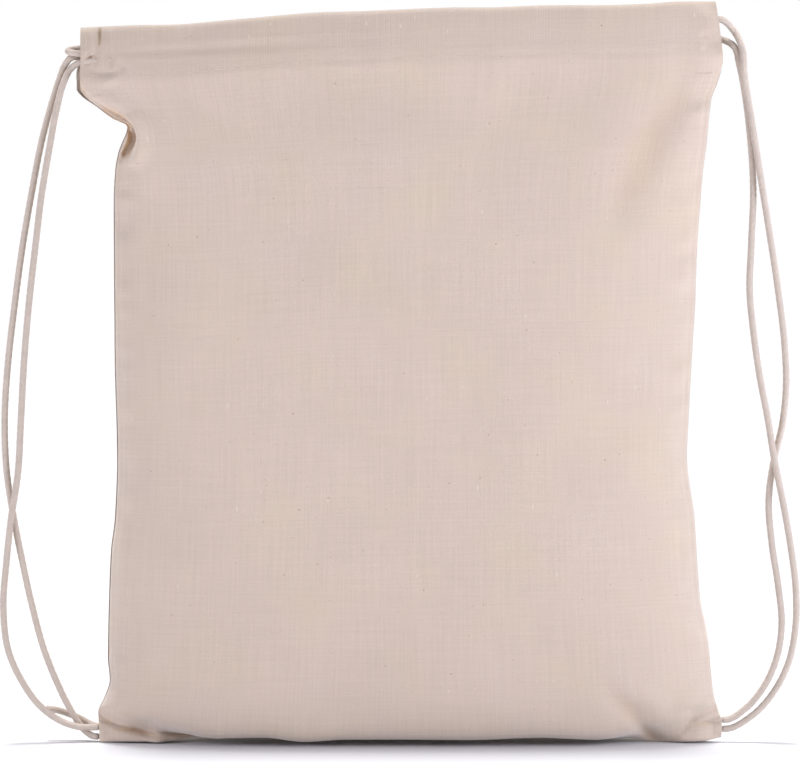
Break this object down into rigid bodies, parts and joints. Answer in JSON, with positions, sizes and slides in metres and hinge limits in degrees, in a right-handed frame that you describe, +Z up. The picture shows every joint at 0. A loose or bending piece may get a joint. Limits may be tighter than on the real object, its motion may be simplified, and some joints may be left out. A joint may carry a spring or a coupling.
{
  "type": "drawstring backpack",
  "caption": "Upright cotton drawstring backpack with a cord casing round its mouth and round cords as shoulder straps to the bottom corners.",
  "frame": {"origin": "on the surface the bag stands on, under the middle of its width and depth", "axes": "+Z up towards the mouth, -Y towards the front panel, +X towards the right when seen from the front"},
  "size_m": [0.4746, 0.0766, 0.44],
  "materials": {
    "natural_cotton": "unbleached plain weave with brown seed flecks, matt",
    "hem_cotton": "unbleached plain weave, double layer, matt",
    "cord_cotton": "round braided cotton cord, matt",
    "thread": "spun cotton sewing thread, matt"
  },
  "bodies": {
    "bag": {"front_panel": "natural_cotton", "back_panel": "natural_cotton", "left_side_seam": "natural_cotton", "right_side_seam": "natural_cotton", "bottom_seam": "natural_cotton", "left_top_bartack": "thread", "right_top_bartack": "thread", "left_corner_bartack": "thread", "right_corner_bartack": "thread", "left_cord_turn": "cord_cotton", "left_cord_sewn_ends": "cord_cotton", "right_cord_turn": "cord_cotton", "right_cord_sewn_ends": "cord_cotton"},
    "front_hem": {"front_casing": "hem_cotton", "front_hem_stitching": "thread", "front_casing_end_stitching": "thread", "left_cord_front_run": "cord_cotton", "right_cord_front_run": "cord_cotton"},
    "back_hem": {"back_casing": "hem_cotton", "back_hem_stitching": "thread", "back_casing_end_stitching": "thread", "left_cord_back_run": "cord_cotton", "right_cord_back_run": "cord_cotton"},
    "left_straps": {"left_cord_front_strand": "cord_cotton", "left_cord_back_strand": "cord_cotton", "left_cord_tail": "cord_cotton"},
    "right_straps": {"right_cord_front_strand": "cord_cotton", "right_cord_back_strand": "cord_cotton"}
  },
  "joints": [
    {"name": "front_hem_open", "type": "slide", "parent": "bag", "child": "front_hem", "axis": [0, -1, 0], "range_m": [0, 0.04]},
    {"name": "back_hem_open", "type": "slide", "parent": "bag", "child": "back_hem", "axis": [0, 1, 0], "range_m": [0, 0.04]},
    {"name": "left_straps_swing", "type": "hinge", "parent": "bag", "child": "left_straps", "pos_m": [-0.183, 0, 0.0055], "axis": [-0.0326, 0, 0.9995], "range_deg": [-80, 80], "deforming": ["left_cord_tail"]},
    {"name": "right_straps_swing", "type": "hinge", "parent": "bag", "child": "right_straps", "pos_m": [0.193, 0, 0.01], "axis": [0.0074, 0, 1], "range_deg": [-80, 80]}
  ],
  "couplings": [
    {"joint": "back_hem_open", "follows": "front_hem_open", "ratio": 1}
  ]
}
